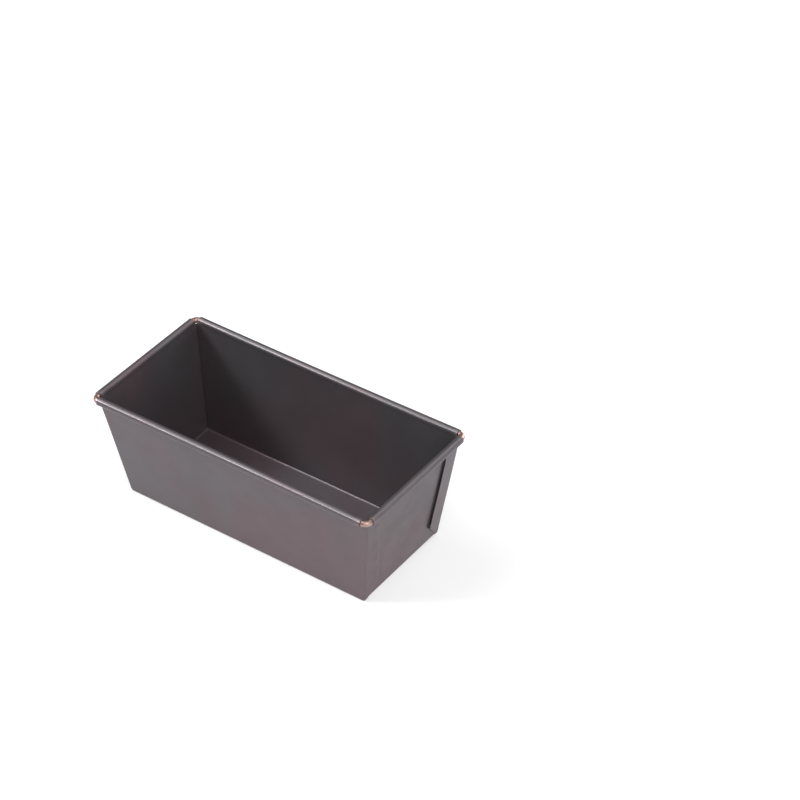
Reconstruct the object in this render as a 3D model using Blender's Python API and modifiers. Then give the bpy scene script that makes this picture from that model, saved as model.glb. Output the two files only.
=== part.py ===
"""Rusk loaf pan: a tapered tin folded from one steel blank round a copper-coloured rim wire.

Metres, +Z up. X runs along the pan and Y across it. The origin is the middle of the underside.
The blank's spare sheet at each corner is folded flat against the outside of the end wall, and
the top edge of each wall is rolled outward round the rim wire, which shows bare at the corners.
"""

import math
from dataclasses import dataclass

import bmesh
import bpy

# The pan's outside, over the rolled rim and at the sharp edges of its floor
RIM_LENGTH = 0.2143
RIM_WIDTH = 0.1053
PAN_HEIGHT = 0.0796
FLOOR_LENGTH = 0.182
FLOOR_WIDTH = 0.0761
# How far the middle of each long rim leans inward
LONG_RIM_BOW = 0.0006

# The sheet, and the inside radii of its bends
SHEET = 0.0005
FLOOR_BEND = 0.0014
CORNER_BEND = 0.0005
NUB_BEND = 0.0003

# The rim wire, its loose fit in the hem, its corner radius and the split between its ends
WIRE_DIAMETER = 0.0039
HEM_FIT = 0.0002
WIRE_CORNER = 0.0036
WIRE_SPLIT = 0.0006
# How far round the wire the hem rolls, and how far short of the corner it ends on either wall
HEM_ROLL = math.radians(300)
LONG_HEM_CUT_BACK = 0.0037
END_HEM_STEP = 0.0005

# The corner flap: its width, the height its slanting fold reaches where its slot begins, the play
# in its tight folds and its clearance under the hem
FLAP_WIDTH = 0.0125
FOLD_TOP = 0.0139
HAIRPIN_PLAY = 0.0001
FLAP_PLAY = 0.0001
FLAP_TOP_CLEARANCE = 0.00025
# The slot between the flap's two layers, from its foot up to where the hem pinches it shut
SLOT_FOOT = 0.0012
SLOT_HEAD = 0.0009
SLOT_PINCH_START = 0.0086
SLOT_PINCH_END = 0.0060
# Rise from the floor's bend to where the fold at the flap's foot is open
FOLD_RISE = 0.0007

# How finely each stretch is divided
FLOOR_BEND_STEPS = 4
CORNER_STEPS = 4
TURN_STEPS = 6
HEM_STEPS = 14
WIRE_CORNER_STEPS = 8
WIRE_SIDES_RESOLUTION = 4
# Where the wall columns stand, as shares of the way from the middle to the hem's end
long_column_shares = (0.0, 0.2, 0.4, 0.6, 0.8, 1.0)
end_column_shares = (0.0, 0.5, 1.0)
# How far the corner is folded at each row of the floor's bend
nub_fold_shares = (0.0, 0.1, 0.25, 0.45, 0.7)
# Rows up the fold, up the open slot and up its pinched head, as shares of those stretches
fold_row_shares = (0.0, 0.33, 0.66, 1.0)
slot_row_shares = (0.25, 0.6, 1.0)
pinch_row_shares = (0.5, 1.0)

MERGE_DISTANCE = 0.00002

HALF_SHEET = SHEET / 2
BEAD_RADIUS = WIRE_DIAMETER / 2 + HEM_FIT + SHEET
HEM_MIDDLE_RADIUS = BEAD_RADIUS - HALF_SHEET
BEAD_HEIGHT = PAN_HEIGHT - BEAD_RADIUS
BEAD_HALF_LENGTH = RIM_LENGTH / 2 - BEAD_RADIUS
BEAD_HALF_WIDTH = RIM_WIDTH / 2 - BEAD_RADIUS
LONG_HEM_END = BEAD_HALF_LENGTH - LONG_HEM_CUT_BACK
FLAP_TOP = BEAD_HEIGHT - BEAD_RADIUS - FLAP_TOP_CLEARANCE
FOLD_FOOT = SHEET + FLOOR_BEND + FOLD_RISE
HAIRPIN = (HAIRPIN_PLAY + SHEET) / 2
QUARTER_TURN = math.pi / 2

# The sheet's two faces: the outer one is the outside of the walls and the inside of the hem
OUTER = 1
INNER = -1


@dataclass(frozen=True)
class Wall:
    """The sheet of one pair of opposite walls, in a section across them."""

    half_floor: float
    half_bead: float

    @property
    def slope(self):
        """Lean from upright at which the outer face runs from the floor's edge to the bead."""
        run = self.half_bead - self.half_floor
        reach = math.hypot(run, BEAD_HEIGHT)
        return math.atan2(run, BEAD_HEIGHT) - math.asin((BEAD_RADIUS - SHEET) / reach)

    @property
    def half_run(self):
        """Half of the sheet's thickness, measured level."""
        return HALF_SHEET / math.cos(self.slope)

    def at(self, height, face=0):
        """Distance from the pan's middle to the sheet's middle or to one of its faces."""
        return self.half_floor + (face - 1) * self.half_run + height * math.tan(self.slope)

    def bend_point(self, share, face):
        """Distance and height of a point on one face of the bend between floor and wall."""
        radius = FLOOR_BEND + HALF_SHEET
        turn = QUARTER_TURN - self.slope
        centre = self.at(HALF_SHEET) - radius * math.tan(turn / 2)
        radius += face * HALF_SHEET
        angle = share * turn
        return centre + radius * math.sin(angle), SHEET + FLOOR_BEND - radius * math.cos(angle)

    def hem_point(self, share, face):
        """Distance and height of a point on one face of the hem, from the wall to its lip."""
        radius = HEM_MIDDLE_RADIUS - face * HALF_SHEET
        angle = share * HEM_ROLL - self.slope
        return self.half_bead - radius * math.cos(angle), BEAD_HEIGHT + radius * math.sin(angle)


LONG_WALL = Wall(FLOOR_WIDTH / 2, BEAD_HALF_WIDTH)
END_WALL = Wall(FLOOR_LENGTH / 2, BEAD_HALF_LENGTH)


def steps(count):
    """Even shares from 0 to 1."""
    return [index / count for index in range(count + 1)]


def mix(first, second, share):
    """A value part of the way from the first to the second."""
    return first + (second - first) * share


def arc(centre, radii, start, end, count):
    """Points on an arc of an ellipse, both ends included."""
    angles = [mix(start, end, share) for share in steps(count)]
    return [(centre[0] + radii[0] * math.cos(a), centre[1] + radii[1] * math.sin(a)) for a in angles]


def between(start, end):
    """The point half way along a straight stretch of sheet."""
    return [((start[0] + end[0]) / 2, (start[1] + end[1]) / 2)]


def slot_width(height):
    """Gap between the flap's two layers along their free edges, at one height."""
    pinch_start = FLAP_TOP - SLOT_PINCH_START
    pinch_end = FLAP_TOP - SLOT_PINCH_END
    if height <= FOLD_TOP:
        return mix(FLAP_PLAY, SLOT_FOOT, height / FOLD_TOP)
    if height <= pinch_start:
        return mix(SLOT_FOOT, SLOT_HEAD, (height - FOLD_TOP) / (pinch_start - FOLD_TOP))
    share = min(1.0, (height - pinch_start) / (pinch_end - pinch_start))
    return mix(SLOT_HEAD, FLAP_PLAY, share)


def hairpin_y(long_y):
    """Where the end wall's hairpin turns back, beside the long wall."""
    return long_y - SHEET - FLAP_PLAY - HAIRPIN


def end_hem_end(long_y):
    """Where the end wall's straight stretch stops, just short of its hairpin."""
    return hairpin_y(long_y) - END_HEM_STEP


def folded_corner(end_x, long_y, height, face):
    """One face of the sheet through a corner, from the long wall round to the end wall.

    The three lists are the bend with the flap's outer layer, the fold that joins the layers, and
    the inner layer with the hairpin that leads it back into the end wall.
    """
    half_x = face * END_WALL.half_run
    half_y = face * LONG_WALL.half_run
    inner_x = end_x + 2 * HAIRPIN
    outer_x = inner_x + SHEET + FLAP_PLAY
    half_turn = (outer_x + slot_width(height) - FLAP_PLAY - inner_x) / 2
    free_y = long_y + HALF_SHEET - FLAP_WIDTH * min(1.0, height / FOLD_TOP)
    bend = CORNER_BEND + HALF_SHEET

    bend_radii = (bend + half_x, bend + half_y)
    fold_radii = (half_turn + half_x, half_turn + half_y)
    hairpin_radii = (HAIRPIN - half_x, HAIRPIN - half_y)
    bend_points = arc((outer_x - bend, long_y - bend), bend_radii, QUARTER_TURN, 0.0, CORNER_STEPS)
    fold_points = arc((inner_x + half_turn, free_y), fold_radii, 0.0, -math.pi, TURN_STEPS)
    hairpin_centre = (end_x + HAIRPIN, hairpin_y(long_y))
    hairpin_points = arc(hairpin_centre, hairpin_radii, 0.0, math.pi, TURN_STEPS)
    outer_layer = bend_points + between(bend_points[-1], fold_points[0])
    inner_layer = between(fold_points[-1], hairpin_points[0]) + hairpin_points
    return outer_layer, fold_points, inner_layer


def nub_corner(end_x, long_y, face, fold):
    """One face of the solid nub below the fold, part of the way from a plain corner to a folded one."""
    outer_layer, fold_points, inner_layer = folded_corner(end_x, long_y, FOLD_FOOT, face)
    if face == OUTER:
        folded = outer_layer + fold_points
    else:
        folded = outer_layer[:1] + inner_layer[-1 - TURN_STEPS // 2:]
    radius = NUB_BEND + HALF_SHEET
    centre = (end_x - radius, long_y - radius)
    radii = (radius + face * END_WALL.half_run, radius + face * LONG_WALL.half_run)
    plain = arc(centre, radii, QUARTER_TURN, 0.0, len(folded) - 1)
    return [(mix(p[0], f[0], fold), mix(p[1], f[1], fold)) for p, f in zip(plain, folded)]


def bow(x, x_end, height):
    """How far the long wall leans inward at one place along it."""
    return LONG_RIM_BOW * height / PAN_HEIGHT * max(0.0, 1 - (x / x_end) ** 2)


def long_stretch(x_end, distance, height):
    """Points along the long wall from its middle to the end of its straight stretch."""
    places = [x_end * share for share in long_column_shares]
    return [(x, distance - bow(x, x_end, height), height) for x in places]


def end_stretch(y_end, distance, height):
    """Points along the end wall from the end of its straight stretch to its middle."""
    return [(distance, y_end * share, height) for share in reversed(end_column_shares)]


def nub_row(mesh, share, fold, face):
    """One row of one face on the bend between floor and walls, with the nub in its corner."""
    long_y, long_z = LONG_WALL.bend_point(share, face)
    end_x, end_z = END_WALL.bend_point(share, face)
    middle_y = long_y - face * LONG_WALL.half_run * share
    middle_x = end_x - face * END_WALL.half_run * share
    corner = nub_corner(middle_x, middle_y, face, fold)
    shift_x = end_x - middle_x - face * END_WALL.half_run
    shift_y = long_y - middle_y - face * LONG_WALL.half_run
    row = long_stretch(long_stretch_end(middle_x), long_y, long_z)
    for index, (x, y) in enumerate(corner):
        height = mix(long_z, end_z, index / (len(corner) - 1))
        row.append((x + shift_x, y + shift_y, height))
    row += end_stretch(end_hem_end(middle_y), end_x, end_z)
    return [mesh.verts.new(point) for point in row]


def long_stretch_end(end_x):
    """Where the long wall's straight stretch stops, at the same step from the corner all the way up."""
    return LONG_HEM_END + end_x - END_WALL.at(FLAP_TOP)


class FoldedRow:
    """One level row of one face of the sheet above the nub, as named runs of vertices."""

    def __init__(self, mesh, height, face):
        """Lay out the row's vertices from the long wall's middle to the end wall's."""
        end_x = END_WALL.at(height)
        long_y = LONG_WALL.at(height)
        outer_layer, fold, inner_layer = folded_corner(end_x, long_y, height, face)
        long_run = long_stretch(long_stretch_end(end_x), LONG_WALL.at(height, face), height)
        end_run = end_stretch(end_hem_end(long_y), END_WALL.at(height, face), height)

        def place(points):
            """Vertices at the row's own height."""
            return [mesh.verts.new((x, y, height)) for x, y in points]

        self.height = height
        self.long_run = [mesh.verts.new(point) for point in long_run]
        self.outer_layer = place(outer_layer)
        self.inner_layer = place(inner_layer)
        self.end_run = [mesh.verts.new(point) for point in end_run]
        self.fold = []
        if height < FOLD_TOP + MERGE_DISTANCE:
            self.fold = place(fold)
        else:
            free_edges = place([fold[0], fold[-1]])
            self.outer_layer.append(free_edges[0])
            self.inner_layer.insert(0, free_edges[1])

    def all(self):
        """The whole row as one run, for rows below the slot."""
        return self.long_run + self.outer_layer + self.fold + self.inner_layer + self.end_run

    def long_side(self):
        """The long wall with the flap's outer layer, up to its free edge."""
        return self.long_run + self.outer_layer + self.fold[:1]

    def end_side(self):
        """The flap's inner layer from its free edge, with the end wall."""
        return self.fold[-1:] + self.inner_layer + self.end_run


def add_strip(mesh, lower, upper, face):
    """Faces between two rows of one face of the sheet, pointing out of the sheet."""
    for column in range(len(lower) - 1):
        quad = [lower[column], upper[column], upper[column + 1], lower[column + 1]]
        add_face(mesh, quad, face)


def add_face(mesh, corners, face):
    """One polygon, turned round on the sheet's inner face."""
    mesh.faces.new(corners if face == OUTER else list(reversed(corners)))


def close_edge(mesh, outer_run, inner_run):
    """The cut edge of the sheet between runs on its two faces, taken with the cut on their right."""
    for column in range(len(outer_run) - 1):
        quad = [outer_run[column], outer_run[column + 1], inner_run[column + 1], inner_run[column]]
        mesh.faces.new(quad)


def row_heights():
    """Heights of the level rows, from the foot of the fold to the top of the flap."""
    pinch_start = FLAP_TOP - SLOT_PINCH_START
    pinch_end = FLAP_TOP - SLOT_PINCH_END
    heights = [mix(FOLD_FOOT, FOLD_TOP, share) for share in fold_row_shares]
    heights += [mix(FOLD_TOP, pinch_start, share) for share in slot_row_shares]
    heights += [mix(pinch_start, pinch_end, share) for share in pinch_row_shares]
    return heights + [FLAP_TOP]


def add_nub(mesh, face, foot):
    """The floor, its bends and the nub under the fold, up to the fold's foot."""
    rows = []
    for share, fold in zip(steps(FLOOR_BEND_STEPS), nub_fold_shares):
        rows.append(nub_row(mesh, share, fold, face))
    if face == OUTER:
        top = foot.long_run + foot.outer_layer + foot.fold + foot.end_run
        crevice = [foot.fold[-1]] + foot.inner_layer + foot.end_run[:1]
    else:
        first_inner = len(foot.inner_layer) - 1 - TURN_STEPS // 2
        top = foot.long_run + foot.outer_layer[:1] + foot.inner_layer[first_inner:] + foot.end_run
        crevice = foot.outer_layer + foot.fold + foot.inner_layer[:first_inner + 1]
    rows.append(top)
    for lower, upper in zip(rows, rows[1:]):
        add_strip(mesh, lower, upper, face)
    add_face(mesh, crevice, face)
    floor_height = rows[0][0].co.z
    centre = mesh.verts.new((0.0, 0.0, floor_height))
    for first, second in zip(rows[0], rows[0][1:]):
        add_face(mesh, [centre, first, second], face)


def add_hems(mesh, face, top):
    """Roll both walls' top edges outward, and give back the rows of each hem on this face."""
    long_rows = [top.long_run]
    end_rows = [top.end_run]
    y_end = end_hem_end(LONG_WALL.at(FLAP_TOP))
    for share in steps(HEM_STEPS):
        long_points = long_stretch(LONG_HEM_END, *LONG_WALL.hem_point(share, face))
        end_points = end_stretch(y_end, *END_WALL.hem_point(share, face))
        long_rows.append([mesh.verts.new(point) for point in long_points])
        end_rows.append([mesh.verts.new(point) for point in end_points])
    for rows in (long_rows, end_rows):
        for lower, upper in zip(rows, rows[1:]):
            add_strip(mesh, lower, upper, face)
    return long_rows, end_rows


def quarter_pan():
    """A quarter of the folded sheet with both its faces, open at the planes x = 0 and y = 0."""
    mesh = bmesh.new()
    faces = {}
    hems = {}
    for face in (OUTER, INNER):
        rows = [FoldedRow(mesh, height, face) for height in row_heights()]
        faces[face] = rows
        for lower, upper in zip(rows, rows[1:]):
            if lower.fold and upper.fold:
                add_strip(mesh, lower.all(), upper.all(), face)
            else:
                add_strip(mesh, lower.long_side(), upper.long_side(), face)
                add_strip(mesh, lower.end_side(), upper.end_side(), face)
        add_nub(mesh, face, rows[0])
        hems[face] = add_hems(mesh, face, rows[-1])
    close_slot(mesh, faces[OUTER], faces[INNER])
    close_top(mesh, faces[OUTER][-1], faces[INNER][-1])
    close_hems(mesh, hems[OUTER], hems[INNER])
    return mesh


def close_slot(mesh, outer_rows, inner_rows):
    """The flap's cut edges along its slot, and the top of the fold between them."""
    pairs = zip(outer_rows, inner_rows)
    slot_pairs = [(o, i) for o, i in pairs if o.height > FOLD_TOP - MERGE_DISTANCE]
    outer_edge = [(o.long_side()[-1], i.long_side()[-1]) for o, i in slot_pairs]
    inner_edge = [(o.end_side()[0], i.end_side()[0]) for o, i in slot_pairs]
    close_edge(mesh, [pair[0] for pair in outer_edge], [pair[1] for pair in outer_edge])
    close_edge(mesh, [pair[1] for pair in inner_edge], [pair[0] for pair in inner_edge])
    foot_outer, foot_inner = slot_pairs[0]
    close_edge(mesh, foot_inner.fold, foot_outer.fold)


def close_top(mesh, outer_row, inner_row):
    """The sheet's cut edge over the corner, between the ends of the two hems."""
    outer_long = outer_row.long_run[-1:] + outer_row.outer_layer
    inner_long = inner_row.long_run[-1:] + inner_row.outer_layer
    outer_end = outer_row.inner_layer + outer_row.end_run[:1]
    inner_end = inner_row.inner_layer + inner_row.end_run[:1]
    close_edge(mesh, inner_long, outer_long)
    close_edge(mesh, inner_end, outer_end)


def close_hems(mesh, outer_hems, inner_hems):
    """The hems' cut ends beside the corner, and their lips."""
    outer_long, outer_end = outer_hems
    inner_long, inner_end = inner_hems
    close_edge(mesh, [row[-1] for row in outer_long], [row[-1] for row in inner_long])
    close_edge(mesh, [row[0] for row in inner_end], [row[0] for row in outer_end])
    close_edge(mesh, inner_long[-1], outer_long[-1])
    close_edge(mesh, inner_end[-1], outer_end[-1])


def finish_material(name, colour, roughness, metallic):
    """A plain finish with the part's colour."""
    material = bpy.data.materials.new(name)
    material.use_nodes = True
    shader = material.node_tree.nodes["Principled BSDF"]
    shader.inputs["Base Color"].default_value = (*colour, 1.0)
    shader.inputs["Roughness"].default_value = roughness
    shader.inputs["Metallic"].default_value = metallic
    return material


def add_object(name, data, material, collection):
    """Put a mesh or a curve in the model under its own name."""
    item = bpy.data.objects.new(name, data)
    data.materials.append(material)
    collection.objects.link(item)
    return item


def add_pan_body(collection):
    """Floor, walls, corner flaps and hems: one folded sheet, mirrored from its quarter."""
    quarter = quarter_pan()
    data = bpy.data.meshes.new("pan_body")
    quarter.to_mesh(data)
    quarter.free()
    coating = finish_material("dark_nonstick_coating", (0.115, 0.105, 0.112), 0.42, 0.3)
    body = add_object("pan_body", data, coating, collection)
    mirror = body.modifiers.new("both_halves", "MIRROR")
    mirror.use_axis = (True, True, False)
    mirror.merge_threshold = MERGE_DISTANCE
    return body


def wire_path():
    """Points of the rim wire, once round from its split in the middle of the back hem."""
    length = BEAD_HALF_LENGTH - WIRE_CORNER
    width = BEAD_HALF_WIDTH - WIRE_CORNER
    places = sorted({side * LONG_HEM_END * share for share in long_column_shares for side in (-1, 1)})
    half_split = WIRE_SPLIT / 2

    def long_side(xs, side):
        """Points along one long rim, which leans inward in its middle."""
        inset = [bow(x, LONG_HEM_END, BEAD_HEIGHT) for x in xs]
        return [(x, side * (BEAD_HALF_WIDTH - back)) for x, back in zip(xs, inset)]

    def corner(side_x, side_y, start):
        """Points round one corner of the rim, a quarter turn clockwise from above."""
        end = start - math.pi / 2
        radii = (WIRE_CORNER, WIRE_CORNER)
        return arc((side_x * length, side_y * width), radii, start, end, WIRE_CORNER_STEPS)

    inner_places = [x for x in places if abs(x) < length - MERGE_DISTANCE]
    right = [x for x in inner_places if x > half_split]
    left = [x for x in inner_places if x < -half_split]
    path = long_side([half_split] + right, 1)
    path += corner(1, 1, math.pi / 2) + corner(1, -1, 0.0)
    path += long_side(list(reversed(inner_places)), -1)
    path += corner(-1, -1, -math.pi / 2) + corner(-1, 1, math.pi)
    path += long_side(left + [-half_split], 1)
    return path


def add_rim_wire(collection):
    """The round wire that stiffens the rim, one length bent into a rounded rectangle."""
    path = wire_path()
    curve = bpy.data.curves.new("rim_wire", "CURVE")
    curve.dimensions = "3D"
    curve.bevel_depth = WIRE_DIAMETER / 2
    curve.bevel_resolution = WIRE_SIDES_RESOLUTION
    curve.use_fill_caps = True
    spline = curve.splines.new("POLY")
    spline.points.add(len(path) - 1)
    for point, (x, y) in zip(spline.points, path):
        point.co = (x, y, BEAD_HEIGHT, 1.0)
    spline.use_smooth = True
    copper = finish_material("copper_coated_wire", (0.72, 0.40, 0.29), 0.3, 1.0)
    return add_object("rim_wire", curve, copper, collection)


def main():
    """Clear the scene and build the pan."""
    for item in list(bpy.data.objects):
        bpy.data.objects.remove(item)
    collection = bpy.data.collections.new("rusk_loaf_pan")
    bpy.context.scene.collection.children.link(collection)
    body = add_pan_body(collection)
    add_rim_wire(collection)
    body.data.shade_smooth()
    body.data.set_sharp_from_angle(angle=math.radians(40))


main()
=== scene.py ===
"""Looks of the rusk loaf pan: one folded sheet of coated steel with its rim rolled round a wire.

Metres, +Z up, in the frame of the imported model. X runs along the pan and Y across it, and the
origin is the middle of the underside.
"""

import logging
import math
from dataclasses import dataclass, field
from enum import Enum

import bmesh
import bpy
from mathutils import Matrix, Vector


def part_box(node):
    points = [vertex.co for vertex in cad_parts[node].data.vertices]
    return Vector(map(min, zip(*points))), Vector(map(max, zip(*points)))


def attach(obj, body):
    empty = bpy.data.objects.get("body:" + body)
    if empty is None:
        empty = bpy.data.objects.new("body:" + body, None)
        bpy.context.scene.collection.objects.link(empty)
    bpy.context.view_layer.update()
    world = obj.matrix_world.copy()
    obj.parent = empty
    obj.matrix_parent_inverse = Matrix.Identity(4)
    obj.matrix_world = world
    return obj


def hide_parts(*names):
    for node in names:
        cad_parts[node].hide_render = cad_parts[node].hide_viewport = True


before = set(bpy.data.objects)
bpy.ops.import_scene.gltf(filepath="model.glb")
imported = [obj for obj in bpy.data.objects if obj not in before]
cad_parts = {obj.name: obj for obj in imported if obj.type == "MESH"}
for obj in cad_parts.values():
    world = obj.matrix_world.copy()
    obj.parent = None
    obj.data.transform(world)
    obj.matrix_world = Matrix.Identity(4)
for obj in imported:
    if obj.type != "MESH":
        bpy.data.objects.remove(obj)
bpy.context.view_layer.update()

LOG = logging.getLogger("rusk_loaf_pan")
QUARTER_TURN = math.pi / 2

Point = tuple[float, float]
Colour = tuple[float, float, float]
Run = list[bmesh.types.BMVert]
Socket = bpy.types.NodeSocket


class Face(Enum):
    """The sheet's two faces: the outer one is the outside of the walls and the inside of the hem."""

    OUTER = 1
    INNER = -1


class Side(Enum):
    """The two kinds of wall, by where the sheet's path round a corner reaches them."""

    LONG = "long"
    END = "end"


def steps(count: int) -> list[float]:
    """Even shares from 0 to 1."""
    return [index / count for index in range(count + 1)]


def mix(first: float, second: float, share: float) -> float:
    """A value part of the way from the first to the second."""
    return first + (second - first) * share


def arc(centre: Point, radii: Point, start: float, end: float, count: int) -> list[Point]:
    """Lay points on an arc of an ellipse.

    Args:
        centre: Middle of the ellipse.
        radii: Its two radii, along the first and the second axis.
        start: Angle of the first point.
        end: Angle of the last point.
        count: How many steps the arc takes.

    Returns:
        The points, both ends included.
    """
    angles = [mix(start, end, share) for share in steps(count)]
    return [(centre[0] + radii[0] * math.cos(a), centre[1] + radii[1] * math.sin(a)) for a in angles]


def straight(start: Point, end: Point, count: int) -> list[Point]:
    """Points between two places on a straight stretch, without either end."""
    shares = steps(count)[1:-1]
    return [(mix(start[0], end[0], share), mix(start[1], end[1], share)) for share in shares]


@dataclass(frozen=True)
class PanSizes:
    """Sizes that the sheet, its hems and the wire share, in metres. Each bend is its inside radius."""

    rim_length: float
    rim_width: float
    height: float
    floor_length: float = 0.182
    floor_width: float = 0.0761
    rim_bow: float = 0.0006
    sheet: float = 0.0005
    floor_bend: float = 0.0014
    corner_bend: float = 0.0005
    solid_bend: float = 0.0003
    wire_diameter: float = 0.0039
    hem_fit: float = 0.0002
    wire_corner: float = 0.0036
    wire_split: float = 0.0006
    hem_roll: float = math.radians(300)
    long_hem_cut_back: float = 0.0037
    end_hem_step: float = 0.0005

    @classmethod
    def from_frame(cls) -> "PanSizes":
        """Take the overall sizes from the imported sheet."""
        low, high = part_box("pan_body")
        span = high - low
        return cls(rim_length=span.x, rim_width=span.y, height=span.z)

    @property
    def half_sheet(self) -> float:
        """Half of the sheet's thickness."""
        return self.sheet / 2

    @property
    def bead_radius(self) -> float:
        """Outside radius of the rolled hem."""
        return self.wire_diameter / 2 + self.hem_fit + self.sheet

    @property
    def bead_height(self) -> float:
        """Height of the wire's centre."""
        return self.height - self.bead_radius

    @property
    def bead_half_length(self) -> float:
        """Distance from the pan's middle to the wire along the end rims."""
        return self.rim_length / 2 - self.bead_radius

    @property
    def bead_half_width(self) -> float:
        """Distance from the pan's middle to the wire along the long rims."""
        return self.rim_width / 2 - self.bead_radius

    @property
    def long_hem_end(self) -> float:
        """Distance from the pan's middle to the cut ends of the long hems."""
        return self.bead_half_length - self.long_hem_cut_back

    def bow(self, x: float, x_end: float, height: float) -> float:
        """How far a long wall leans inward at one place along it.

        Args:
            x: Place along the wall.
            x_end: Where the wall's straight stretch ends.
            height: Height of the place.

        Returns:
            The inward shift.
        """
        return self.rim_bow * height / self.height * max(0.0, 1 - (x / x_end) ** 2)


@dataclass(frozen=True)
class Wall:
    """The sheet of one pair of opposite walls, in a section across them."""

    sizes: PanSizes
    half_floor: float
    half_bead: float

    @property
    def slope(self) -> float:
        """Lean from upright at which the outer face runs from the floor's edge to the bead."""
        run = self.half_bead - self.half_floor
        reach = math.hypot(run, self.sizes.bead_height)
        inset = self.sizes.bead_radius - self.sizes.sheet
        return math.atan2(run, self.sizes.bead_height) - math.asin(inset / reach)

    @property
    def half_run(self) -> float:
        """Half of the sheet's thickness, measured level."""
        return self.sizes.half_sheet / math.cos(self.slope)

    def at(self, height: float, offset: int = 0) -> float:
        """Distance from the pan's middle to the sheet.

        Args:
            height: Where up the wall.
            offset: 1 for the outer face, -1 for the inner one and 0 for the sheet's middle.

        Returns:
            The distance.
        """
        return self.half_floor + (offset - 1) * self.half_run + height * math.tan(self.slope)

    def bend_point(self, share: float, face: Face) -> Point:
        """Place a point on the bend between floor and wall.

        Args:
            share: How far round the bend, from the floor to the wall.
            face: Which face of the sheet.

        Returns:
            Distance from the pan's middle, and height.
        """
        half = self.sizes.half_sheet
        middle_radius = self.sizes.floor_bend + half
        turn = QUARTER_TURN - self.slope
        centre = self.at(half) - middle_radius * math.tan(turn / 2)
        radius = middle_radius + face.value * half
        angle = share * turn
        height = self.sizes.sheet + self.sizes.floor_bend - radius * math.cos(angle)
        return centre + radius * math.sin(angle), height

    def hem_point(self, share: float, face: Face) -> Point:
        """Place a point on the hem.

        Args:
            share: How far round the hem, from the wall to the lip.
            face: Which face of the sheet.

        Returns:
            Distance from the pan's middle, and height.
        """
        half = self.sizes.half_sheet
        radius = self.sizes.bead_radius - half - face.value * half
        angle = share * self.sizes.hem_roll - self.slope
        height = self.sizes.bead_height + radius * math.sin(angle)
        return self.half_bead - radius * math.cos(angle), height


@dataclass(frozen=True)
class CornerRuns:
    """The sheet's path through one corner, seen from above.

    The flap's outer layer comes first, then the fold, and last the inner layer, which leads back into
    the end wall.
    """

    outer_layer: list[Point]
    fold: list[Point]
    inner_layer: list[Point]


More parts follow.
